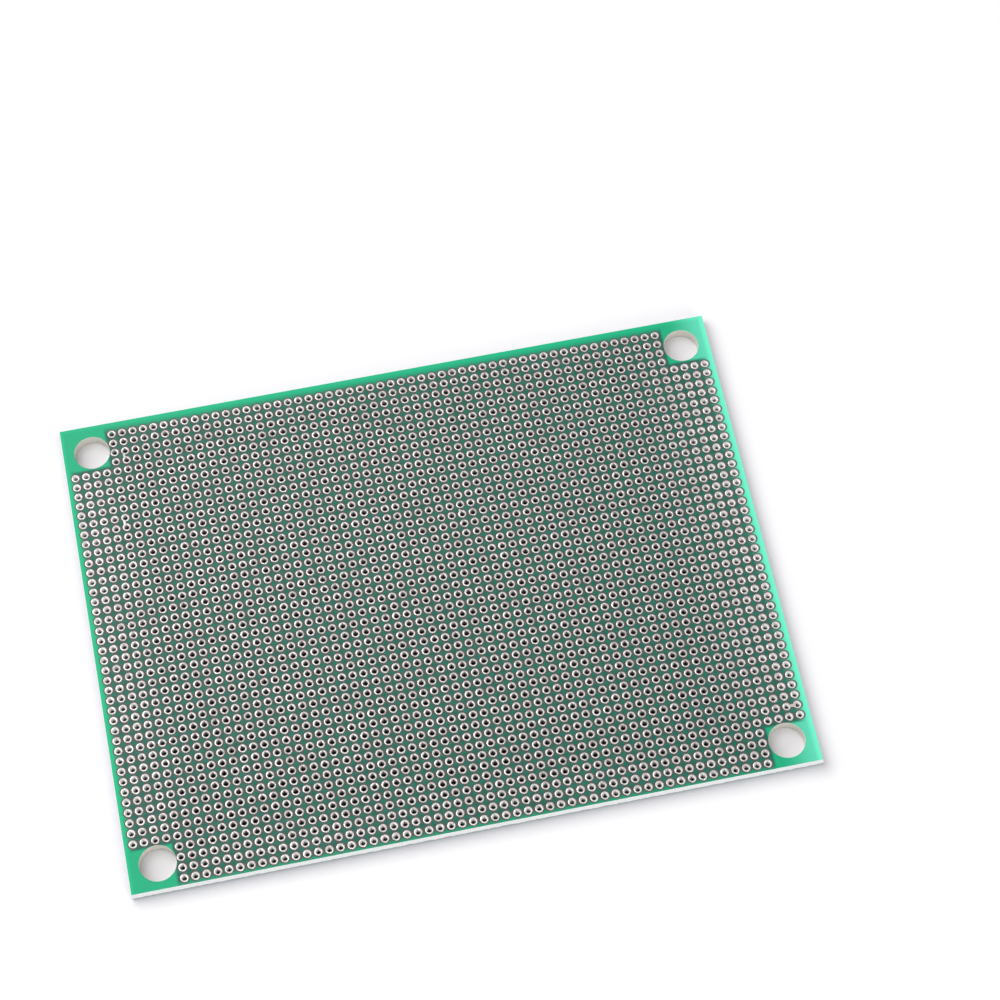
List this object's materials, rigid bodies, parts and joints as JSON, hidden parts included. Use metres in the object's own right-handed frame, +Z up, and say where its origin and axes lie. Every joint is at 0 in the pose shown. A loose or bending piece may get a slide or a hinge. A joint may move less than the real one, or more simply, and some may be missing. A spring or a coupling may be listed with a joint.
{
  "type": "prototype board",
  "caption": "Flat drilled laminate with a fine square grid of tinned plated-through holes, bare corner mounting holes and scored edges.",
  "frame": {"origin": "under the middle of the board's outline, on the plane that the tin of the lower side rests on", "axes": "+X along the long side, +Y along the short side, +Z up through the board's thickness"},
  "size_m": [0.0798, 0.0598, 0.0016],
  "materials": {
    "laminate": "glossy green solder mask over pale glass-fibre laminate",
    "tin": "hot-air levelled tin, bright and slightly uneven"
  },
  "bodies": {
    "root": {"laminate_near": "laminate", "laminate_mid_near": "laminate", "laminate_mid_far": "laminate", "laminate_far": "laminate", "plated_holes_sides": "tin", "plated_holes_near_left": "tin", "plated_holes_near_centre": "tin", "plated_holes_near_right": "tin", "plated_holes_mid_near_left": "tin", "plated_holes_mid_near_centre": "tin", "plated_holes_mid_near_right": "tin", "plated_holes_mid_far_left": "tin", "plated_holes_mid_far_centre": "tin", "plated_holes_mid_far_right": "tin", "plated_holes_far_left": "tin", "plated_holes_far_centre": "tin", "plated_holes_far_right": "tin"}
  },
  "joints": []
}
